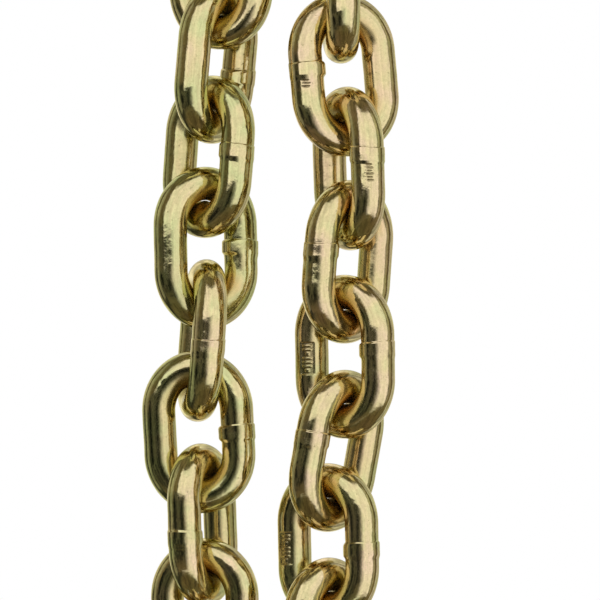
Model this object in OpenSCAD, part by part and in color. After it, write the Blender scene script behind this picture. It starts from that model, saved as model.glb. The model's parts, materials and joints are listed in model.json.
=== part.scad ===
// A stretch of welded transport chain hanging as two runs from one top link.
// The end of the left run carries a clevis grab hook with its pin and cotter.
// +Z is up, +X runs from the left run to the right one, and the origin is the top link's centre.

/* [Links] */
// Diameter of the link wire
wire_d = 10; // [9.6:0.1:10]
// Bend radius of each crown, at the middle of the wire
bend_r = 11.8; // [11.8:0.1:12.2]
// Straight part of each leg, between the crowns
straight = 15.2; // [15.2:0.1:16]
// Height the weld collar stands out of the leg
weld_h = 0.5; // [0.2:0.1:0.6]
// Length of the weld collar along the leg
weld_l = 4.8; // [4:0.2:5]

/* [Clevis] */
// Inside width between the ears
ear_gap = 13; // [13:0.5:14]
// Thickness of each ear
ear_t = 8; // [7:0.5:8]
// Radius of the round ear tops
ear_r = 11; // [10:0.5:11]
// Depth of the clevis from the pin's axis to the crotch
crotch_z = 19; // [19:0.5:20]

/* [Hook] */
// Thickness of the forging
hook_t = 16; // [14:1:17]
// Width of the grab slot
slot_w = 12.4; // [12:0.2:12.8]
// Drop from the pin's axis to the seat of the grab slot
seat_z = 68; // [66:1:70]
// Outside radius of the bowl around the seat
bowl_r = 20.5; // [19:0.5:21]
// Radius of the rounded tip
tip_r = 7; // [6.5:0.5:7]

/* [Pin] */
// Diameter of the clevis pin
pin_d = 11; // [10.5:0.1:11]
// Radial running clearance of the pin in the ears
pin_fit = 0.06; // [0.03:0.01:0.09]
// Diameter of the pin's head
head_d = 17; // [15:0.5:18]
// Thickness of the pin's head
head_t = 4; // [3:0.5:5]
// Diameter of the cotter wire
cotter_d = 3.2; // [2.8:0.1:3.2]

/* [Hidden] */
$fn = 64;

// Attitude of a link at rest: turn about its own length, lean sideways, spin about +Z,
// and play between its upper crown and the wire it hangs on
top = [90, 57, -30, 0];
left = [
    [-26, 0, 0, 0.4],
    [55, 5, 0, 0.5],
    [-44, 4, 0, 0.5],
    [28, -1, 0, 1.3],
    [-80, 4, 0, 1.1],
    [-8, -3, 0, 1.3],
    [-116, -2, 0, 1.0],
    [-18, -1, 0, 0.4],
    [90, 0, 0, 1.1],
];
right = [
    [-9, -23.5, 0, 1.0],
    [94, -1, 0, 1.1],
    [-158, -5, 0, 1.0],
    [-62, -2, 0, 0.9],
    [-134, 4, 0, 1.0],
    [-34, -1, 0, 0.5],
    [-132, 10, 0, 0.5],
    [-32, -1, 0, 0.5],
    [48, 5, 0, 0.7],
];

// Distance from a link's centre to the middle of the wire at each crown
reach = straight / 2 + bend_r;
// Gap between the pin and the crown it rests in
pin_play = 0.4;
// Half the width over the ears
ears = ear_gap / 2 + ear_t;
// Gap between the pin's head and the ear
head_gap = 0.3;
// Distance of the cotter hole from the middle of the pin
cotter_x = ears + 3.4;
// Length of pin past the middle of the cotter hole
pin_end = 4.2;
// Clearance around the cotter in its hole
cotter_fit = 0.2;
// Bend radius of the cotter's eye
eye_r = 3.4;
// Straight part of the cotter on each side of the pin's axis
cotter_l = 9;
// Angle between each bent leg of the cotter and its straight part
splay = 38;

gold = [0.78, 0.72, 0.50];
steel = [0.62, 0.62, 0.60];

function spun(v, s) = [v.x * cos(s) - v.y * sin(s), v.x * sin(s) + v.y * cos(s), v.z];
function along(a) = spun([sin(a[1]), 0, cos(a[1])], a[2]);
function across(a) = spun([cos(a[0]) * cos(a[1]), sin(a[0]), -cos(a[0]) * sin(a[1])], a[2]);
function between(a, b) = let (n = cross(across(a), across(b))) n * sign(n.z) / norm(n);
function low(run, i, start) = centre(run, i, start) - reach * along(run[i]);
function centre(run, i, start) =
    let (above = i == 0 ? top : run[i - 1], wire = i == 0 ? start : low(run, i - 1, start))
    wire + (wire_d + run[i][3]) * between(above, run[i]) - reach * along(run[i]);

left_start = -reach * along(top);
right_start = reach * along(top);
pin_at = low(left, len(left) - 1, left_start) + [0, 0, wire_d / 2 + pin_d / 2 + pin_play];

// Half of the ring of wire at one end of a link
module crown() {
    rotate([90, 0, 0])
        rotate_extrude(angle = 180)
            translate([bend_r, 0])
                circle(d = wire_d);
}

// Raised band where the two ends of the wire are butt welded
module weld_collar() {
    rotate_extrude()
        polygon([
            [0, -weld_l / 2],
            [wire_d / 2 - weld_h, -weld_l / 2],
            [wire_d / 2 + weld_h, -weld_l / 2 + 2 * weld_h],
            [wire_d / 2 + weld_h, weld_l / 2 - 2 * weld_h],
            [wire_d / 2 - weld_h, weld_l / 2],
            [0, weld_l / 2],
        ]);
}

// One link in its own frame: it stands in the XZ plane, its weld on the +X leg
module plain_link() {
    for (end = [0, 180])
        rotate([0, end, 0])
            translate([0, 0, straight / 2])
                crown();
    for (side = [-1, 1])
        translate([side * bend_r, 0, 0])
            cylinder(d = wire_d, h = straight, center = true);
    translate([bend_r, 0, 0])
        weld_collar();
}

module set_link(attitude, at) {
    color(gold)
        translate(at)
            rotate([0, attitude[1], attitude[2]])
                rotate([0, 0, attitude[0]])
                    plain_link();
}

module link_top() {
    set_link(top, [0, 0, 0]);
}

module link_left(n) {
    set_link(left[n - 1], centre(left, n - 1, left_start));
}

module link_right(n) {
    set_link(right[n - 1], centre(right, n - 1, right_start));
}

// Outline of the forging below the ears, seen along the Y axis: yoke, neck, back, bowl and tip
module hook_outline() {
    tip_x = -(bowl_r + slot_w / 2) / 2;
    difference() {
        union() {
            polygon([
                [-ears, -crotch_z],
                [ears, -crotch_z],
                [ears, -crotch_z - 12],
                [bowl_r - 0.5, -seat_z + 12],
                [bowl_r - 0.5, -seat_z + 2],
                [0, -seat_z],
                [0, -crotch_z - 26],
                [-ears + 5, -crotch_z - 17],
                [-ears, -crotch_z - 10],
            ]);
            translate([0, -seat_z])
                circle(r = bowl_r);
            translate([tip_x, -seat_z + 8])
                circle(r = tip_r);
        }
        translate([0, -seat_z])
            circle(d = slot_w);
        translate([-slot_w / 2, -seat_z])
            square([slot_w, seat_z - crotch_z - 30]);
        polygon([
            [-2 * bowl_r, -seat_z + 8],
            [tip_x - tip_r + 0.6, -seat_z + 8],
            [tip_x, -seat_z + 8 + tip_r - 0.4],
            [tip_x + tip_r - 0.6, -seat_z + 8],
            [slot_w / 2 - 1, -seat_z + 8],
            [slot_w / 2 - 1, -crotch_z - 30],
            [0, -crotch_z - 26],
            [-ears + 5, -crotch_z - 17],
            [-2 * bowl_r, -crotch_z - 17],
        ]);
    }
    translate([tip_x, -seat_z + 8])
        circle(r = tip_r);
}

// One ear, seen along the X axis
module ear_outline() {
    circle(r = ear_r);
    translate([-hook_t / 2, -crotch_z - 6])
        square([hook_t, crotch_z + 6]);
}

module hook_forging() {
    difference() {
        union() {
            translate([0, hook_t / 2, 0])
                rotate([90, 0, 0])
                    linear_extrude(hook_t)
                        hook_outline();
            for (side = [-1, 1])
                translate([side * (ear_gap + ear_t) / 2 - ear_t / 2, 0, 0])
                    rotate([90, 0, 90])
                        linear_extrude(ear_t)
                            ear_outline();
        }
        rotate([0, 90, 0])
            cylinder(d = pin_d + 2 * pin_fit, h = 4 * ears, center = true);
    }
}

module hook_left() {
    color(gold)
        translate(pin_at)
            hook_forging();
}

// Headed pin along X, drilled for the cotter near its far end
module clevis_pin() {
    color(steel)
        translate(pin_at)
            difference() {
                translate([-ears - head_gap, 0, 0])
                    rotate([0, 90, 0])
                        rotate_extrude()
                            polygon([
                                [0, -head_t],
                                [head_d / 2 - 1, -head_t],
                                [head_d / 2, -head_t + 1],
                                [head_d / 2, 0],
                                [pin_d / 2, 0],
                                [pin_d / 2, ears + head_gap + cotter_x + pin_end - 1],
                                [pin_d / 2 - 1, ears + head_gap + cotter_x + pin_end],
                                [0, ears + head_gap + cotter_x + pin_end],
                            ]);
                translate([cotter_x, 0, 0])
                    rotate([90, 0, 0])
                        cylinder(d = cotter_d + 2 * cotter_fit, h = 2 * pin_d, center = true);
            }
}

// Split pin through the clevis pin: round eye on one side, two bent legs on the other
module cotter_pin() {
    color(steel)
        translate(pin_at + [cotter_x, 0, 0]) {
            rotate([90, 0, 0])
                cylinder(d = cotter_d, h = 2 * cotter_l, center = true);
            translate([0, cotter_l + eye_r - 0.6, 0])
                rotate([0, 90, 0])
                    rotate_extrude()
                        translate([eye_r, 0])
                            circle(d = cotter_d);
            for (side = [-1, 1])
                translate([0, -cotter_l + 0.4, 0])
                    rotate([90 + side * splay, 0, 0])
                        cylinder(d = cotter_d * 0.7, h = 6);
        }
}

link_top();
link_left(1);  // link_left_1
link_left(2);  // link_left_2
link_left(3);  // link_left_3
link_left(4);  // link_left_4
link_left(5);  // link_left_5
link_left(6);  // link_left_6
link_left(7);  // link_left_7
link_left(8);  // link_left_8
link_left(9);  // link_left_9
link_right(1);  // link_right_1
link_right(2);  // link_right_2
link_right(3);  // link_right_3
link_right(4);  // link_right_4
link_right(5);  // link_right_5
link_right(6);  // link_right_6
link_right(7);  // link_right_7
link_right(8);  // link_right_8
link_right(9);  // link_right_9
hook_left();
clevis_pin();
cotter_pin();
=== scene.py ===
"""Gold-plated transport chain hanging in two runs, with a clevis grab hook, pin and cotter.

Every link, the hook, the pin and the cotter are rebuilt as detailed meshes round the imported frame.
Lengths are in millimetres inside the mesh code and become metres when a mesh is made.
"""

import json
import math

import bmesh
import bpy
import numpy as np
from mathutils import Matrix, Vector


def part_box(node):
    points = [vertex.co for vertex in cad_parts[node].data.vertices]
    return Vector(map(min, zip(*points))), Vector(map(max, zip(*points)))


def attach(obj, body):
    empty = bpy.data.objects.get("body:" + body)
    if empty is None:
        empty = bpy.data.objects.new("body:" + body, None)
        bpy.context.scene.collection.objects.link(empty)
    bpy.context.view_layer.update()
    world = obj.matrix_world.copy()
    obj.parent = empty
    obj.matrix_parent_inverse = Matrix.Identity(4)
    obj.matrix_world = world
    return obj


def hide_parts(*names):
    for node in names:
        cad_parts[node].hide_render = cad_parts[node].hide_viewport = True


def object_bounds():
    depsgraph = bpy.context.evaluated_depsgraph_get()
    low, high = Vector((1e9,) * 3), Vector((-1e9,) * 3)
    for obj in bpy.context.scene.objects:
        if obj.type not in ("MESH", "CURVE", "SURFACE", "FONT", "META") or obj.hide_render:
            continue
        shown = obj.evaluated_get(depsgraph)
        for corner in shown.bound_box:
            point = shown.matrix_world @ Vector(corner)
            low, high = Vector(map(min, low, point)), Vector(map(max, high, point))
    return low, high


MM = 0.001

# The link in millimetres: wire radius, bend radius, middle of the link to its crown's wire,
# height of a crown, half the straight leg and half the weld
WIRE_R = 5.0
BEND_R = 11.8
REACH = 19.4
CROWN_B = 12.8
LEG = REACH - CROWN_B
WELD_HALF = 2.3
# Play left at a crown once its wire is thickened where it bears, and how far the seat spreads
SEAT_GAP = 0.12
SEAT_SPREAD = 3.5
# Points round the wire of a plain and of a stamped link, and steps round each crown
AROUND = 64
AROUND_STAMPED = 104
CROWN_STEPS = 52
# Spacing of the stations up a leg: plain, over the weld and over a stamp
LEG_STEP = 0.6
WELD_STEP = 0.14
STAMP_STEP = 0.16
# Unevenness of the wire: waves in each sum, and the strength and finest wave of the two sums
WAVES = 14
LONG_RIPPLE = (0.045, 14)
SHORT_RIPPLE = (0.02, 40)
# Width of the grooves beside a weld, and the range that phases are drawn from
GROOVE_W = 0.16
FULL_TURN = 6.283

# Attitude of each link at rest: turn about its own length, lean, spin about +Z, play at its crown
TOP = (90, 57, -30, 0)
LEFT = (
    (-26, 0, 0, 0.4),
    (55, 5, 0, 0.5),
    (-44, 4, 0, 0.5),
    (28, -1, 0, 1.3),
    (-80, 4, 0, 1.1),
    (-8, -3, 0, 1.3),
    (-116, -2, 0, 1.0),
    (-18, -1, 0, 0.4),
    (90, 0, 0, 1.1),
)
RIGHT = (
    (-9, -23.5, 0, 1.0),
    (94, -1, 0, 1.1),
    (-158, -5, 0, 1.0),
    (-62, -2, 0, 0.9),
    (-134, 4, 0, 1.0),
    (-34, -1, 0, 0.5),
    (-132, 10, 0, 0.5),
    (-32, -1, 0, 0.5),
    (48, 5, 0, 0.7),
)
# Height of the weld above the middle of each link, from the top of a run down
WELD_TOP = 0.5
WELD_LEFT = (1.0, -3.7, 1.8, 0.0, -1.8, -0.6, -3.7, 1.2, -0.5)
WELD_RIGHT = (0.6, -0.4, 2.1, 3.7, 2.6, 1.9, 2.4, -1.5, 0.8)
# Hue of each link, from green gold at 0 to pink gold at 1
HUE_LEFT = (0.45, 0.40, 0.24, 0.20, 0.45, 0.28, 0.42, 0.5, 0.5)
HUE_RIGHT = (0.55, 0.50, 0.62, 0.60, 0.55, 0.58, 0.55, 0.5, 0.5)
# Bars of the stamped marks: height, distance across, half height and half width
PLAIN_FIELD = (
    (3.7, 0.0, 0.26, 1.5),
    (2.6, 0.0, 0.26, 1.5),
    (1.3, -0.1, 0.55, 0.6),
    (0.0, 0.0, 0.26, 1.5),
    (-1.2, 0.0, 0.26, 1.5),
    (-2.4, 0.1, 0.26, 1.5),
    (-3.7, 0.0, 0.55, 0.6),
)
SHORT_BARS = (
    (0.9, -0.2, 0.20, 0.9),
    (0.1, 0.1, 0.18, 1.1),
    (-0.9, -0.1, 0.22, 1.0),
)
LONG_BARS = (
    (3.0, -0.1, 0.22, 0.9),
    (2.1, 0.2, 0.26, 1.1),
    (1.2, 0.0, 0.20, 0.8),
    (0.3, 0.2, 0.28, 1.2),
    (-0.7, 0.1, 0.22, 0.9),
    (-1.6, 0.3, 0.24, 1.1),
)
# Stamped marks: leg, middle height, turn from the front in degrees, and bars
STAMPS = {
    "link_right_3": (1, -1.9, -4, SHORT_BARS),
    "link_right_4": (1, -2.4, 4, LONG_BARS),
    "link_right_6": (-1, -0.3, -17, PLAIN_FIELD),
    "link_right_8": (-1, -0.8, -34, PLAIN_FIELD),
}
SUNK_FIELDS = ("link_right_6", "link_right_8")

# The hook, measured from the pin's axis: ear radius, seat depth, slot width and web radius
EAR_R = 11.0
SEAT = 68.0
SLOT_W = 12.4
WEB_R = 13.4
# The cotter: wire radius, half length, eye radius, bent leg length, splay in degrees, half gap
COTTER_R = 1.55
COTTER_L = 9.0
EYE_R = 3.4
TAIL = 5.4
SPLAY = 38
COTTER_GAP = 0.06

# Colours of the plating: green, cream and pink gold, amber as painted bounce light in the crevices, and
# what darkens them
GREEN_GOLD = (0.67, 0.69, 0.35, 1)
CREAM_GOLD = (0.81, 0.69, 0.39, 1)
PINK_GOLD = (0.86, 0.65, 0.46, 1)
# Painted bounce light: the deeper amber that light reflected from gold to gold gives inside crevices and
# crowns
PAINTED_BOUNCE_AMBER = (0.66, 0.45, 0.15, 1)
MOTTLE = (0.52, 0.46, 0.24, 1)
STAIN = (0.44, 0.36, 0.20, 1)
SPECK = (0.26, 0.22, 0.10, 1)
MARK_DARK = (0.16, 0.12, 0.05, 1)
EDGE_TINT = (0.84, 0.80, 0.60, 1)
# Colours of the bright zinc: warm and cool haze, specks and marks
ZINC_WARM = (0.72, 0.72, 0.69, 1)
ZINC_COOL = (0.60, 0.64, 0.68, 1)
ZINC_SPECK = (0.20, 0.19, 0.17, 1)
ZINC_MARK = (0.24, 0.21, 0.16, 1)

# The camera: distance, width of the picture where the chain hangs, and the picture's middle, in metres
CAMERA_AWAY = 2.0
PICTURE_WIDTH = 0.1791
PICTURE_X = 0.0096
PICTURE_Z = -0.1190
# The floor: radius and drop below the hook, in metres
FLOOR_R = 1.6
FLOOR_DROP = 0.06
# The dark card: radius, low and high edge in metres, and its span in degrees from the front
CARD_R = 0.30
CARD_LOW = -0.42
CARD_HIGH = -0.085
CARD_SPAN = (-78, 26)
CARD_STEPS = 24


def turned(attitude):
    """The rotation of a link with that attitude."""
    az, lean, spin = [math.radians(a) for a in attitude[:3]]
    return Matrix.Rotation(spin, 3, "Z") @ Matrix.Rotation(lean, 3, "Y") @ Matrix.Rotation(az, 3, "Z")


def run_places(attitudes, wire):
    """Centre and rotation of each link of a run that hangs from the wire at that point."""
    places = []
    above = turned(TOP)
    for attitude in attitudes:
        turn = turned(attitude)
        up = above.col[0].cross(turn.col[0]).normalized()
        if up.z < 0:
            up = -up
        centre = wire + (2 * WIRE_R + attitude[3]) * up - REACH * turn.col[2]
        places.append((centre, turn))
        wire = centre - REACH * turn.col[2]
        above = turn
    return places


def all_links():
    """Name, centre, rotation, weld height, hue, and seat rise at the top and bottom crowns."""
    joints = frame["record"]["behaviour"]["joints"]
    hinges = {joint["child"]: Vector(joint["pos_m"]) / MM for joint in joints}
    top = turned(TOP)
    rows = [["link_top", Vector((0, 0, 0)), top, WELD_TOP, 0.5, 0.0, 0.0]]
    for side, attitudes, start, welds, hues in (
        ("left", LEFT, -REACH, WELD_LEFT, HUE_LEFT),
        ("right", RIGHT, REACH, WELD_RIGHT, HUE_RIGHT),
    ):
        above, crown = rows[0], 5 if side == "right" else 6
        for i, (centre, turn) in enumerate(run_places(attitudes, start * top.col[2])):
            row = [f"link_{side}_{i + 1}", centre, turn, welds[i], hues[i], 0.0, 0.0]
            rise = attitudes[i][3] - SEAT_GAP
            if (hinges[row[0]] - centre - REACH * turn.col[2]).length < 1:
                row[5] = rise
            else:
                above[crown] = rise
            rows.append(row)
            above, crown = row, 6
    return rows


def step(a, b, x):
    """Smooth step of an array from 0 at a to 1 at b."""
    t = np.clip((x - a) / (b - a), 0, 1)
    return t * t * (3 - 2 * t)


def leg_heights(zones):
    """Heights up one leg, closer together inside the zones (low, high, step)."""
    z, out = -LEG, []
    while z < LEG - 0.05:
        out.append(z)
        gap = LEG_STEP
        for low, high, fine in zones:
            if low <= z <= high:
                gap = min(gap, fine)
        z += gap
    return out


def stations(weld, stamp):
    """The closed centreline of a link from its weld round: points, outward directions, leg sign."""
    weld_zones = [(weld - WELD_HALF - 0.7, weld + WELD_HALF + 0.7, WELD_STEP)]
    zones = {-1: [], 1: weld_zones}
    if stamp:
        sign, middle = stamp[:2]
        zones[sign] = zones[sign] + [(middle - 5.2, middle + 5.2, STAMP_STEP)]
    rows = [(-BEND_R, z, -1.0, 0.0, -1) for z in leg_heights(zones[-1])]
    for k in range(CROWN_STEPS):
        rows.append(crown_point(math.pi * (1 - k / CROWN_STEPS), 1))
    down = [(-high, -low, fine) for low, high, fine in zones[1]]
    rows += [(BEND_R, -z, 1.0, 0.0, 1) for z in leg_heights(down)]
    for k in range(CROWN_STEPS):
        rows.append(crown_point(math.pi * k / CROWN_STEPS, -1))
    rows = np.array(rows)
    first = int(np.argmin(np.abs(rows[:, 1] - weld) + 100 * (rows[:, 4] != 1)))
    return np.roll(rows, -first, axis=0)


def crown_point(angle, up):
    """A point of a slightly pointed crown and its outward direction; angle 0 is at +X."""
    c, s = math.cos(angle), math.sin(angle)
    n = math.hypot(c / BEND_R, s / CROWN_B)
    return (BEND_R * c, up * (LEG + CROWN_B * s), c / BEND_R / n, up * s / CROWN_B / n, 0)


def ripple(rng, u, v, size, reach):
    """A sum of waves round and along the wire, which closes on itself."""
    total = np.zeros(np.broadcast(u, v).shape)
    for _ in range(WAVES):
        a, b = rng.integers(1, reach), rng.integers(-3, 4)
        strength = math.cos(rng.uniform(0, FULL_TURN)) / math.sqrt(a)
        total += strength * np.sin(a * u + b * v + rng.uniform(0, FULL_TURN))
    return size * total / 2.0


def seat_rise(rise, x, z, angle):
    """Thicker wire on the inside of a crown that a hinge goes through, where it bears on its neighbour."""
    inner = np.maximum(0, -np.cos(angle)) ** 3
    near = np.exp(-(x / SEAT_SPREAD) ** 2) * (np.abs(z) > LEG)
    return rise * near * inner


def groove_at(h, at, angle, phase):
    """A narrow groove round the wire at a height, deeper on one side."""
    return np.exp(-((h - at) / GROOVE_W) ** 2) * (0.5 + 0.5 * np.sin(angle + phase))


def weld_rise(rng, height, angle, weld):
    """Rise of the weld and darkness of its grooves: a low uneven band with a lump on the inner side."""
    phases = rng.uniform(0, FULL_TURN, 9)
    blur_top, blur_low = rng.uniform(0.10, 0.30), rng.uniform(0.30, 1.20)
    h = height - weld - 0.24 * np.cos(angle + phases[0])
    wave = 0.14 * np.sin(2 * angle + phases[1]) + 0.07 * np.sin(5 * angle + phases[2])
    top, low = WELD_HALF + wave, -WELD_HALF + 0.7 * wave
    inside = step(top + blur_top, top - blur_top, h) * step(low - blur_low, low + blur_low, h)
    inner = np.maximum(0, -np.cos(angle))
    outer = np.maximum(0, np.cos(angle))
    band = 0.16 + 0.09 * outer + 0.07 * np.sin(2 * angle + phases[3]) * (1 - inner)
    rough = 0.02 * np.sin(2 * angle + 0.6 * h + phases[4]) * np.sin(0.9 * h + angle + phases[5])
    barrel = np.clip(1.2 - np.abs(h / WELD_HALF) ** 3.5, 0, 1)
    lump = (0.66 + 0.1 * math.sin(phases[8])) * inner ** 2.4 * barrel
    groove_low = groove_at(h, low - blur_low, angle, phases[7]) * step(0.7, 0.3, blur_low)
    groove = groove_at(h, top + blur_top, angle, phases[6]) + groove_low
    return inside * (band + rough + lump) - 0.06 * groove, np.clip(0.30 * groove, 0, 1)


def stamp_rise(stamp, sunk, height, across):
    """Rise and darkness of the stamped marks: plain bars, raised in a sunk field or cut straight in."""
    h = height - stamp[1]
    bars = np.zeros_like(h + across)
    for at, aside, half_h, half_w in stamp[3]:
        inside_h = step(half_h + 0.16, half_h - 0.10, np.abs(h - at))
        inside_w = step(half_w + 0.16, half_w - 0.10, np.abs(across - aside))
        bars = np.maximum(bars, inside_h * inside_w)
    if not sunk:
        return -0.24 * bars, bars
    field = step(4.95, 4.6, np.abs(h)) * step(2.3, 1.95, np.abs(across))
    return -0.30 * field + 0.22 * bars * field, field * (0.75 - 0.6 * bars)


def wire_lengths(rows):
    """Length along the closed centreline at each station, and its total."""
    gaps = np.hypot(*np.diff(np.vstack([rows[:, :2], rows[:1, :2]]), axis=0).T)
    return np.concatenate([[0], np.cumsum(gaps)[:-1]])[:, None], gaps.sum()


def stamp_middle(stamp, turn):
    """Angle round the wire at which a stamp looks out, in the link's own frame."""
    az = math.radians(stamp[2])
    facing = turn.transposed() @ Vector((math.sin(az), -math.cos(az), 0))
    return math.atan2(facing.y, facing.x * stamp[0])


def stamp_on_link(stamp, sunk, turn, z, leg, angle):
    """Rise and darkness of a stamp over the whole link, which are 0 off its leg."""
    offset = (angle - stamp_middle(stamp, turn) + math.pi) % (2 * math.pi) - math.pi
    rise, dark = stamp_rise(stamp, sunk, z + 0 * angle, WIRE_R * offset + 0 * z)
    on_leg = (leg == stamp[0]) & (np.abs(offset) < 1.0)
    return np.where(on_leg, rise, 0), np.where(on_leg, dark, 0)


def link_surface(name, turn, weld, seed, above, below):
    """Points of a link's skin in its own frame, with the crevice mask where bounce light is painted, mark
    and wire coordinates.
    """
    rng = np.random.default_rng(seed)
    stamp = STAMPS.get(name)
    rows = stations(weld, stamp)
    x, z, nx, nz, leg = [rows[:, k][:, None] for k in range(5)]
    along, total = wire_lengths(rows)
    around = AROUND_STAMPED if stamp else AROUND
    angle = np.linspace(0, 2 * math.pi, around, endpoint=False)[None, :]
    turn_u = 2 * math.pi * along / total
    radius = WIRE_R + ripple(rng, turn_u, angle, *LONG_RIPPLE) + ripple(rng, turn_u, angle, *SHORT_RIPPLE)
    radius = radius + seat_rise(np.where(z > 0, above, below), x, z, angle)
    rise, groove = weld_rise(rng, z + 0 * angle, angle + 0 * z, weld)
    on_weld = (leg == 1) & (np.abs(z - weld) < WELD_HALF + 1.2)
    radius = radius + np.where(on_weld, rise, 0)
    mark = np.where(on_weld, groove, 0)
    if stamp:
        rise, dark = stamp_on_link(stamp, name in SUNK_FIELDS, turn, z, leg, angle)
        radius = radius + rise
        mark = np.maximum(mark, dark)
    out = radius * np.cos(angle)
    points = np.stack([x + nx * out, radius * np.sin(angle) + 0 * x, z + nz * out], axis=-1)
    # Crevice mask for painted bounce light: the inner side of the wire, most inside the crowns where links
    # meet
    inner = np.clip(-np.cos(angle) + 0.15, 0, 1)
    in_crown = step(LEG - 3.5, LEG + 7.0, np.abs(z)) * step(0.1, 1.0, inner)
    crevice_bounce = np.maximum(in_crown, 0.32 * inner)
    cosine = WIRE_R * np.cos(angle) + 0 * along
    sine = WIRE_R * np.sin(angle) + 0 * along
    wire = np.stack([0.12 * along + 0 * angle, cosine, sine], axis=-1)
    return points, crevice_bounce, mark, wire


def grid_mesh(name, points, closed=True):
    """A mesh of quads over a grid of points in millimetres, a closed ring or a bar with flat ends."""
    rows, columns = points.shape[:2]
    i = np.arange(rows if closed else rows - 1)[:, None]
    j = np.arange(columns)[None, :]
    a = i * columns + j
    b = i * columns + (j + 1) % columns
    c = (i + 1) % rows * columns + (j + 1) % columns
    d = (i + 1) % rows * columns + j
    faces = np.stack([a, d, c, b], axis=-1).reshape(-1, 4).tolist()
    if not closed:
        faces.append(list(range(columns)))
        faces.append(list(range(rows * columns - 1, (rows - 1) * columns - 1, -1)))
    mesh = bpy.data.meshes.new(name)
    mesh.from_pydata((points.reshape(-1, 3) * MM).tolist(), [], faces)
    mesh.polygons.foreach_set("use_smooth", [True] * len(mesh.polygons))
    mesh.update()
    return mesh


def put(mesh, name, kind, values):
    """Stores a value for each point of a mesh."""
    layer = mesh.attributes.new(name, kind, "POINT")
    flat = np.asarray(values, np.float32).ravel()
    layer.data.foreach_set("vector" if kind == "FLOAT_VECTOR" else "value", flat)


def add_attributes(mesh, crevice_bounce, mark, wire, hue, seed):
    """The values that the plating's material reads."""
    count = len(mesh.vertices)
    put(mesh, "crevice_bounce", "FLOAT", crevice_bounce)
    put(mesh, "mark", "FLOAT", mark)
    put(mesh, "hue", "FLOAT", [hue] * count)
    shift = np.array([7.3 * seed, -3.1 * seed, 1.7 * seed])
    co = np.zeros(count * 3, np.float32)
    mesh.vertices.foreach_get("co", co)
    put(mesh, "where", "FLOAT_VECTOR", co.reshape(-1, 3) / MM + shift)
    put(mesh, "wire", "FLOAT_VECTOR", wire.reshape(-1, 3) + shift)


def place(mesh, name, node, matrix, material):
    """Makes the object, puts its mesh where its CAD node is, and lets it stand for that node."""
    mesh.transform(matrix)
    piece = bpy.data.objects.new(name, mesh)
    bpy.context.scene.collection.objects.link(piece)
    mesh.materials.append(material)
    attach(piece, body_of(node))
    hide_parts(node)
    return piece


def body_of(node):
    """The CAD body that holds a node."""
    for body, nodes in frame["record"]["behaviour"]["bodies"].items():
        if node in nodes:
            return body
    raise ValueError(node)


def make_links(material):
    """All nineteen links, each with its own seed."""
    for seed, (name, centre, turn, weld, hue, above, below) in enumerate(all_links(), 1):
        points, crevice_bounce, mark, wire = link_surface(name, turn, weld, seed, above, below)
        mesh = grid_mesh(name + "_mesh", points)
        add_attributes(mesh, crevice_bounce, mark, wire, hue, seed)
        matrix = Matrix.Translation(centre * MM) @ turn.to_4x4()
        place(mesh, name + "_piece", name, matrix, material)


def forged_copy(node, voxel, rounds):
    """The shape of a CAD node with its edges rounded as on a forging."""
    source = frame["nodes"][node]
    piece = bpy.data.objects.new(node + "_work", source.data.copy())
    bpy.context.scene.collection.objects.link(piece)
    piece.data.materials.clear()
    bpy.context.view_layer.objects.active = piece
    remesh = piece.modifiers.new("remesh", "REMESH")
    remesh.mode = "VOXEL"
    remesh.voxel_size = voxel * MM
    soft = piece.modifiers.new("soft", "SMOOTH")
    soft.factor = 0.5
    soft.iterations = rounds
    graph = bpy.context.evaluated_depsgraph_get()
    mesh = bpy.data.meshes.new_from_object(piece.evaluated_get(graph))
    bpy.data.objects.remove(piece)
    mesh.polygons.foreach_set("use_smooth", [True] * len(mesh.polygons))
    return mesh


def skin(mesh):
    """Points in millimetres from the pin's middle and normals of a mesh."""
    points = np.zeros(len(mesh.vertices) * 3, np.float32)
    normals = np.zeros(len(mesh.vertices) * 3, np.float32)
    mesh.vertices.foreach_get("co", points)
    mesh.vertex_normals.foreach_get("vector", normals)
    return points.reshape(-1, 3) / MM - pin_middle(), normals.reshape(-1, 3)


def pin_middle():
    """The middle of the clevis, where the pin's axis crosses the hook's plane."""
    low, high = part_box("hook_left")
    return np.array([(low.x + high.x) / 2, (low.y + high.y) / 2, high.z - EAR_R * MM]) / MM


def push(mesh, points, normals, rise):
    """Moves each point of a mesh that many millimetres along its normal."""
    moved = points + normals * rise[:, None] + pin_middle()
    mesh.vertices.foreach_set("co", (moved * MM).astype(np.float32).ravel())
    mesh.update()


def path_distance(x, z, path):
    """Distance of points in the hook's plane from a path."""
    best = np.full(x.shape, 1000.0)
    for (x0, z0), (x1, z1) in zip(path, path[1:]):
        dx, dz = x1 - x0, z1 - z0
        t = np.clip(((x - x0) * dx + (z - z0) * dz) / (dx * dx + dz * dz), 0, 1)
        best = np.minimum(best, np.hypot(x - x0 - t * dx, z - z0 - t * dz))
    return best


def web_path():
    """The middle of the sunk web on each face of the hook: down the back and round the bowl."""
    bowl = [math.radians(a) for a in range(0, -161, -10)]
    arc = [(WEB_R * math.cos(a), -SEAT + WEB_R * math.sin(a)) for a in bowl]
    return [(3.5, -33.0), (9.5, -45.0), (WEB_R, -59.0)] + arc


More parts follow.
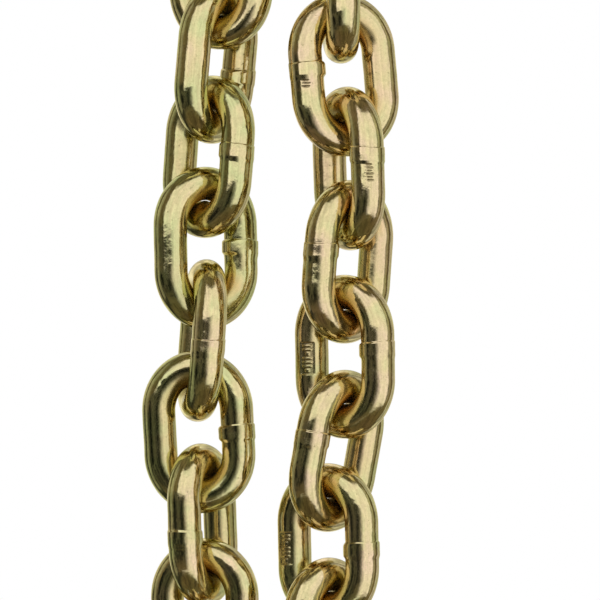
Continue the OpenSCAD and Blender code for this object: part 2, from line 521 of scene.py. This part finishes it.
def make_hook(material):
    """The forged grab hook: rounded edges, a sunk web on each face, a parting line and a free bore."""
    mesh = forged_copy("hook_left", voxel=0.42, rounds=36)
    points, normals = skin(mesh)
    x, y, z = points.T
    flat = step(0.6, 0.9, np.abs(normals[:, 1]))
    web = step(3.4, 2.5, path_distance(x, z, web_path())) * flat
    side = step(0.5, 0.2, np.abs(normals[:, 1]))
    ridge = np.exp(-(y / 0.55) ** 2) * side * step(12.0, 14.0, np.hypot(z, y))
    radial = np.hypot(y, z)
    facing_pin = -(y * normals[:, 1] + z * normals[:, 2]) / np.maximum(radial, 1.0)
    bore = step(6.1, 5.9, radial) * step(0.5, 0.8, facing_pin)
    wave = np.sin(0.9 * x + 1.7 * np.sin(0.31 * z)) * np.sin(0.8 * z + 0.5 * y)
    push(mesh, points, normals, 0.26 * ridge + 0.05 * wave * (1 - bore) - 1.1 * web - 0.18 * bore)
    # Painted bounce light in the hook's bowl, where the last link sits
    crevice_bounce = step(SLOT_W, SLOT_W / 2, np.hypot(x, z + SEAT)) * 0.8
    mark = 0.35 * web * step(0.3, 0.9, web)
    add_attributes(mesh, crevice_bounce, mark, points * (1.0, 0.4, 0.4), hue=0.42, seed=31)
    place(mesh, "grab_hook", "hook_left", Matrix.Identity(4), material)


def make_pin(material):
    """The headed clevis pin, with a dished head."""
    mesh = forged_copy("clevis_pin", voxel=0.3, rounds=4)
    points, normals = skin(mesh)
    x, y, z = points.T
    round_axis = np.hypot(y, z)
    dish = step(6.3, 5.5, round_axis) * step(-0.6, -0.9, normals[:, 0]) * (x < 0)
    push(mesh, points, normals, -0.4 * dish)
    wire = np.stack([2.2 * x, 1.4 * round_axis, 0 * x], axis=-1)
    add_attributes(mesh, 0 * x, 0.4 * dish, wire, hue=0.5, seed=32)
    place(mesh, "pin_headed", "clevis_pin", Matrix.Identity(4), material)


def cotter_path():
    """The cotter's wire from one bent leg round the eye to the other: points and outward directions."""
    splay = math.radians(SPLAY)
    eye_y = COTTER_L + EYE_R - 0.6
    rows = []
    for t in np.linspace(1, 0, 12):
        bend = splay * min(1, 0.25 + t)
        tail_y = -COTTER_L - TAIL * t * math.cos(splay)
        tail_z = TAIL * t * math.sin(splay) + COTTER_GAP
        rows.append((tail_y, tail_z, -math.sin(bend), math.cos(bend)))
    for y in np.linspace(-COTTER_L, COTTER_L - 0.8, 26)[1:]:
        rows.append((y, COTTER_GAP, 0.0, 1.0))
    eye = EYE_R - 0.5
    for a in np.radians(np.linspace(140, 0, 24)):
        rows.append((eye_y + eye * math.cos(a), eye * math.sin(a), math.cos(a), math.sin(a)))
    return rows + [(y, -z, ny, -nz) for y, z, ny, nz in reversed(rows[:-1])]


def make_cotter(material):
    """The split pin: one half-round wire folded on itself, with an eye and two spread legs."""
    rows = np.array(cotter_path())
    half_turn = np.radians(np.linspace(0, 180, 17))
    round_half = [(COTTER_R * math.cos(a), COTTER_R * math.sin(a)) for a in half_turn]
    flat_half = [(w * COTTER_R, -0.04) for w in np.linspace(-0.9, 0.9, 9)]
    section = np.array(round_half + flat_half)
    y, z, ny, nz = [rows[:, k][:, None] for k in range(4)]
    width, height = section.T
    points = np.stack([width[None, :] + 0 * y, y + ny * height, z + nz * height], axis=-1)
    mesh = grid_mesh("cotter_mesh", points, False)
    wire = np.stack([3.0 * width + 0 * y, 3.0 * height + 0 * y, 0.2 * y + 0 * width], axis=-1)
    low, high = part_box("cotter_pin")
    middle = Vector(((low.x + high.x) / 2, pin_middle()[1] * MM, pin_middle()[2] * MM))
    mesh.transform(Matrix.Translation(middle))
    count = len(mesh.vertices)
    add_attributes(mesh, np.zeros(count), np.zeros(count), wire, hue=0.5, seed=33)
    place(mesh, "cotter_split", "cotter_pin", Matrix.Identity(4), material)


def node(tree, kind, inputs=None, **settings):
    """Adds a shader node with its settings and input values or links."""
    made = tree.nodes.new(kind)
    for key, value in settings.items():
        setattr(made, key, value)
    for key, value in (inputs or {}).items():
        socket = made.inputs[key]
        if isinstance(value, bpy.types.NodeSocket):
            tree.links.new(value, socket)
        else:
            socket.default_value = value
    return made


def math_node(tree, operation, *values):
    """A math node's result."""
    return node(tree, "ShaderNodeMath", dict(enumerate(values)), operation=operation).outputs[0]


def mapped(tree, value, low, high, out_low=0.0, out_high=1.0, smoothed=True):
    """A value mapped from one range to another, held at the ends."""
    kind = "SMOOTHSTEP" if smoothed else "LINEAR"
    inputs = {"Value": value, "From Min": low, "From Max": high, "To Min": out_low, "To Max": out_high}
    return node(tree, "ShaderNodeMapRange", inputs, interpolation_type=kind).outputs[0]


def mixed(tree, share, a, b):
    """Colour a, or b where share is 1."""
    return node(tree, "ShaderNodeMix", {0: share, 6: a, 7: b}, data_type="RGBA").outputs[2]


def scaled(tree, colour, factor):
    """A colour made that many times brighter."""
    return node(tree, "ShaderNodeVectorMath", {0: colour, "Scale": factor}, operation="SCALE").outputs[0]


def attribute(tree, name):
    """A value stored on the mesh."""
    return node(tree, "ShaderNodeAttribute", attribute_name=name)


def noise_at(tree, vector, scale, detail=2.0, rough=0.5):
    """Noise over a vector; scale is its waves per unit of that vector."""
    inputs = {"Vector": vector, "Scale": scale, "Detail": detail, "Roughness": rough}
    return node(tree, "ShaderNodeTexNoise", inputs).outputs["Fac"]


def new_material(name):
    """An empty node material and its tree."""
    material = bpy.data.materials.new(name)
    material.use_nodes = True
    material.node_tree.nodes.clear()
    return material, material.node_tree


def plating_colour(tree, where, wire):
    """Yellow chromate over zinc: cream gold with green and pink drifts, and amber painted into the
    crevices as bounce light from the gold around them.
    """
    drift = noise_at(tree, where, 0.11, 2.0)
    streak = noise_at(tree, wire, 0.42, 3.0, 0.6)
    hue = math_node(tree, "ADD", attribute(tree, "hue").outputs["Fac"],
                    mapped(tree, drift, 0.3, 0.7, -0.34, 0.34, False))
    hue = math_node(tree, "ADD", hue, mapped(tree, streak, 0.3, 0.7, -0.18, 0.18, False))
    ramp = node(tree, "ShaderNodeValToRGB", {"Fac": hue})
    stops = ramp.color_ramp.elements
    stops[0].position, stops[0].color = 0.08, GREEN_GOLD
    stops[1].position, stops[1].color = 0.92, PINK_GOLD
    middle = ramp.color_ramp.elements.new(0.48)
    middle.color = CREAM_GOLD
    crevice_bounce = attribute(tree, "crevice_bounce").outputs["Fac"]
    # Painted bounce light: crevices mixed towards amber, as light reflected between gold faces would
    # colour them
    painted_bounce_share = math_node(tree, "MULTIPLY", crevice_bounce, mapped(tree, drift, 0.3, 0.7, 0.42, 0.85))
    colour = mixed(tree, painted_bounce_share, ramp.outputs["Color"], PAINTED_BOUNCE_AMBER)
    mottle = mapped(tree, noise_at(tree, where, 1.15, 3.0, 0.65), 0.30, 0.70)
    colour = mixed(tree, math_node(tree, "MULTIPLY", mottle, 0.36), colour, MOTTLE)
    stain = mapped(tree, noise_at(tree, wire, 0.26, 4.0, 0.68), 0.54, 0.68)
    colour = mixed(tree, math_node(tree, "MULTIPLY", stain, 0.42), colour, STAIN)
    speck = mapped(tree, noise_at(tree, where, 0.9, 3.0, 0.6), 0.64, 0.72)
    return mixed(tree, math_node(tree, "MULTIPLY", speck, 0.55), colour, SPECK)


def plating_material(name, low_rough, high_rough, dent, grain):
    """Yellow chromate with that spread of roughness and those depths of dents and grain in metres."""
    material, tree = new_material(name)
    where = attribute(tree, "where").outputs["Vector"]
    wire = attribute(tree, "wire").outputs["Vector"]
    mark = attribute(tree, "mark").outputs["Fac"]
    colour = plating_colour(tree, where, wire)
    colour = mixed(tree, math_node(tree, "MULTIPLY", mark, 0.6), colour, MARK_DARK)
    rough = mapped(tree, noise_at(tree, where, 0.35, 3.0), 0.3, 0.7, low_rough, high_rough)
    rough = math_node(tree, "ADD", rough, math_node(tree, "MULTIPLY", mark, 0.2))
    crevice_bounce = attribute(tree, "crevice_bounce").outputs["Fac"]
    rough = math_node(tree, "ADD", rough, math_node(tree, "MULTIPLY", crevice_bounce, 0.16))
    calm = mapped(tree, crevice_bounce, 0.0, 0.6, 1.0, 0.2)
    dents = node(tree, "ShaderNodeBump", {
        "Height": noise_at(tree, where, 0.20, 3.0, 0.48), "Strength": calm, "Distance": dent,
    })
    lines = node(tree, "ShaderNodeBump", {
        "Height": noise_at(tree, wire, 1.5, 2.0, 0.5), "Strength": 1.0, "Distance": 0.000009,
        "Normal": dents.outputs[0],
    })
    fine = node(tree, "ShaderNodeBump", {
        "Height": noise_at(tree, where, 1.7, 3.0, 0.6), "Strength": calm, "Distance": grain,
        "Normal": lines.outputs[0],
    })
    shader = node(tree, "ShaderNodeBsdfPrincipled", {
        "Base Color": colour, "Metallic": 1.0, "Roughness": rough, "Normal": fine.outputs[0],
        "Specular Tint": EDGE_TINT,
    })
    node(tree, "ShaderNodeOutputMaterial", {"Surface": shader.outputs[0]})
    return material


def zinc_material():
    """Bright zinc on the pin and the cotter: turned rings, a cool haze and small dark specks."""
    material, tree = new_material("bright_zinc")
    where = attribute(tree, "where").outputs["Vector"]
    wire = attribute(tree, "wire").outputs["Vector"]
    haze = mapped(tree, noise_at(tree, where, 0.22, 3.0, 0.6), 0.3, 0.7)
    colour = mixed(tree, haze, ZINC_WARM, ZINC_COOL)
    speck = mapped(tree, noise_at(tree, where, 1.3, 3.0, 0.6), 0.66, 0.74)
    colour = mixed(tree, math_node(tree, "MULTIPLY", speck, 0.5), colour, ZINC_SPECK)
    mark = attribute(tree, "mark").outputs["Fac"]
    colour = mixed(tree, math_node(tree, "MULTIPLY", mark, 0.5), colour, ZINC_MARK)
    rough = mapped(tree, noise_at(tree, where, 0.5, 3.0), 0.3, 0.7, 0.16, 0.34)
    rings = node(tree, "ShaderNodeBump", {
        "Height": noise_at(tree, wire, 1.6, 2.0, 0.5), "Strength": 1.0, "Distance": 0.00003,
    })
    fine = node(tree, "ShaderNodeBump", {
        "Height": noise_at(tree, where, 2.4, 3.0, 0.6), "Strength": 1.0, "Distance": 0.000012,
        "Normal": rings.outputs[0],
    })
    shader = node(tree, "ShaderNodeBsdfPrincipled", {
        "Base Color": colour, "Metallic": 1.0, "Roughness": rough, "Normal": fine.outputs[0],
    })
    node(tree, "ShaderNodeOutputMaterial", {"Surface": shader.outputs[0]})
    return material


def floor_material():
    """Plain pale studio floor."""
    material, tree = new_material("pale_floor")
    place_at = node(tree, "ShaderNodeTexCoord").outputs["Object"]
    grain = noise_at(tree, place_at, 6.0, 2.0)
    colour = mixed(tree, grain, (0.80, 0.80, 0.79, 1), (0.84, 0.84, 0.83, 1))
    shader = node(tree, "ShaderNodeBsdfPrincipled", {
        "Base Color": colour, "Roughness": 0.7,
        "Emission Color": (1, 1, 1, 1), "Emission Strength": 0.35,
    })
    node(tree, "ShaderNodeOutputMaterial", {"Surface": shader.outputs[0]})
    return material


def make_floor():
    """A round floor below the hook."""
    mesh = bpy.data.meshes.new("floor_mesh")
    shape = bmesh.new()
    bmesh.ops.create_circle(shape, cap_ends=True, segments=96, radius=FLOOR_R)
    shape.to_mesh(mesh)
    shape.free()
    floor = bpy.data.objects.new("floor", mesh)
    bpy.context.scene.collection.objects.link(floor)
    floor.location.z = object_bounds()[0].z - FLOOR_DROP
    floor.visible_glossy = False
    mesh.materials.append(floor_material())


def panel(tree, az, el, az_range, el_range, soft):
    """1 inside a panel of directions and 0 outside, with soft sides; angles in degrees."""
    share = 1.0
    for value, (low, high) in ((az, az_range), (el, el_range)):
        rise = mapped(tree, value, math.radians(low - soft), math.radians(low + soft))
        fall = mapped(tree, value, math.radians(high - soft), math.radians(high + soft), 1.0, 0.0)
        share = math_node(tree, "MULTIPLY", share, math_node(tree, "MULTIPLY", rise, fall))
    return share


# The studio, seen from the chain: azimuths from the front and elevations in degrees, softness and colour.
# Later panels lie over earlier ones, and the front panel over them all.
STUDIO = (
    ((-100, 200), (-95, -48), 10, (0.15, 0.12, 0.06, 1)),
    ((-200, -52), (-50, 2), 8, (0.045, 0.047, 0.03, 1)),
    ((-110, -86), (-34, 52), 4, (0.44, 0.44, 0.31, 1)),
    ((-168, -127), (-34, 52), 4, (0.60, 0.62, 0.50, 1)),
    ((76, 93), (-34, 52), 4, (0.50, 0.49, 0.34, 1)),
    ((113, 168), (-50, 52), 4, (0.64, 0.65, 0.57, 1)),
    ((-210, -152), (-30, 60), 6, (1.05, 1.05, 1.00, 1)),
    ((152, 210), (-30, 60), 6, (1.05, 1.05, 1.00, 1)),
)
FRONT = ((-48, 74), (-40, 60), 5, (1.06, 1.05, 1.01, 1))


def make_light():
    """Soft studio light: a wide panel in front, pale walls behind, dim sides and a dark ground."""
    world = bpy.data.worlds.new("studio")
    bpy.context.scene.world = world
    world.use_nodes = True
    tree = world.node_tree
    tree.nodes.clear()
    away = node(tree, "ShaderNodeTexCoord").outputs["Generated"]
    parts = node(tree, "ShaderNodeSeparateXYZ", {0: away})
    back = math_node(tree, "MULTIPLY", parts.outputs["Y"], -1.0)
    az = math_node(tree, "ARCTAN2", parts.outputs["X"], back)
    el = math_node(tree, "ARCSINE", parts.outputs["Z"])
    colour = (0.18, 0.155, 0.08, 1)
    for az_range, el_range, soft, light in STUDIO:
        colour = mixed(tree, panel(tree, az, el, az_range, el_range, soft), colour, light)
    low_el = math_node(tree, "MULTIPLY", el, 0.4)
    upright = node(tree, "ShaderNodeCombineXYZ", {0: az, 1: low_el}).outputs[0]
    stripes = mapped(tree, noise_at(tree, upright, 3.4, 3.0, 0.6), 0.34, 0.66, 0.45, 1.25)
    colour = scaled(tree, colour, stripes)
    colour = mixed(tree, panel(tree, az, el, *FRONT[:3]), colour, FRONT[3])
    uneven = mapped(tree, noise_at(tree, away, 4.0, 3.0, 0.55), 0.3, 0.7, 0.84, 1.10)
    colour = scaled(tree, colour, uneven)
    seen = node(tree, "ShaderNodeLightPath").outputs["Is Camera Ray"]
    colour = mixed(tree, seen, colour, (1, 1, 1, 1))
    shade = node(tree, "ShaderNodeBackground", {"Color": colour})
    node(tree, "ShaderNodeOutputWorld", {"Surface": shade.outputs[0]})


def make_dark_card():
    """A dark curved card low on the front left, which only reflections see."""
    mesh = bpy.data.meshes.new("dark_card_mesh")
    shape = bmesh.new()
    columns = []
    first, last = CARD_SPAN
    for k in range(CARD_STEPS + 1):
        a = math.radians(first + (last - first) * k / CARD_STEPS)
        x, y = CARD_R * math.sin(a), -CARD_R * math.cos(a)
        columns.append([shape.verts.new((x, y, z)) for z in (CARD_LOW, CARD_HIGH)])
    for one, two in zip(columns, columns[1:]):
        shape.faces.new((one[0], two[0], two[1], one[1]))
    shape.to_mesh(mesh)
    shape.free()
    card = bpy.data.objects.new("dark_card", mesh)
    bpy.context.scene.collection.objects.link(card)
    card.visible_camera = False
    card.visible_diffuse = False
    card.visible_shadow = False
    mesh.materials.append(dark_card_material())


def dark_card_material():
    """Dim olive cloth that fades out at its edges."""
    material, tree = new_material("dark_card")
    spot = node(tree, "ShaderNodeTexCoord").outputs["Object"]
    parts = node(tree, "ShaderNodeSeparateXYZ", {0: spot})
    top = mapped(tree, parts.outputs["Z"], -0.108, -0.082)
    back = math_node(tree, "MULTIPLY", parts.outputs["Y"], -1.0)
    turn = math_node(tree, "ARCTAN2", parts.outputs["X"], back)
    side = mapped(tree, turn, math.radians(-12), math.radians(24))
    clear = math_node(tree, "MAXIMUM", top, side)
    folds = mapped(tree, noise_at(tree, spot, 12.0, 3.0, 0.6), 0.36, 0.68)
    cloth = mixed(tree, folds, (0.006, 0.008, 0.006, 1), (0.12, 0.118, 0.08, 1))
    foot = mapped(tree, parts.outputs["Z"], -0.40, -0.24, 1.0, 0.0)
    cloth = mixed(tree, foot, cloth, (0.15, 0.125, 0.07, 1))
    dim = node(tree, "ShaderNodeEmission", {"Color": cloth})
    gone = node(tree, "ShaderNodeBsdfTransparent")
    shade = node(tree, "ShaderNodeMixShader", {0: clear, 1: dim.outputs[0], 2: gone.outputs[0]})
    node(tree, "ShaderNodeOutputMaterial", {"Surface": shade.outputs[0]})
    return material


def make_camera():
    """A long lens at the height of the runs' middle, looking along +Y."""
    data = bpy.data.cameras.new("camera")
    camera = bpy.data.objects.new("camera", data)
    bpy.context.scene.collection.objects.link(camera)
    data.sensor_width = 36.0
    data.lens = data.sensor_width * CAMERA_AWAY / PICTURE_WIDTH
    camera.location = (PICTURE_X, -CAMERA_AWAY, PICTURE_Z)
    camera.rotation_euler = (math.radians(90), 0, 0)
    bpy.context.scene.camera = camera


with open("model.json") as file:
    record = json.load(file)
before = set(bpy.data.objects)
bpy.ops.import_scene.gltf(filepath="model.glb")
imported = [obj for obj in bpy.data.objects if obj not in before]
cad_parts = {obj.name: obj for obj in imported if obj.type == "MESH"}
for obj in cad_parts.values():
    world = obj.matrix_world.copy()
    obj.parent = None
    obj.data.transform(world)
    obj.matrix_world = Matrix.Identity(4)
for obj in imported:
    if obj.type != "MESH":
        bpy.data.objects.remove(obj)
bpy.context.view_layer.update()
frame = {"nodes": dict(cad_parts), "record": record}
make_links(plating_material(
    "yellow_chromate", low_rough=0.07, high_rough=0.17, dent=0.00020, grain=0.000005))
make_hook(plating_material(
    "yellow_chromate_forged", low_rough=0.14, high_rough=0.26, dent=0.00024, grain=0.00004))
zinc = zinc_material()
make_pin(zinc)
make_cotter(zinc)
make_floor()
make_light()
make_dark_card()
make_camera()
bpy.context.scene.view_settings.view_transform = "Standard"
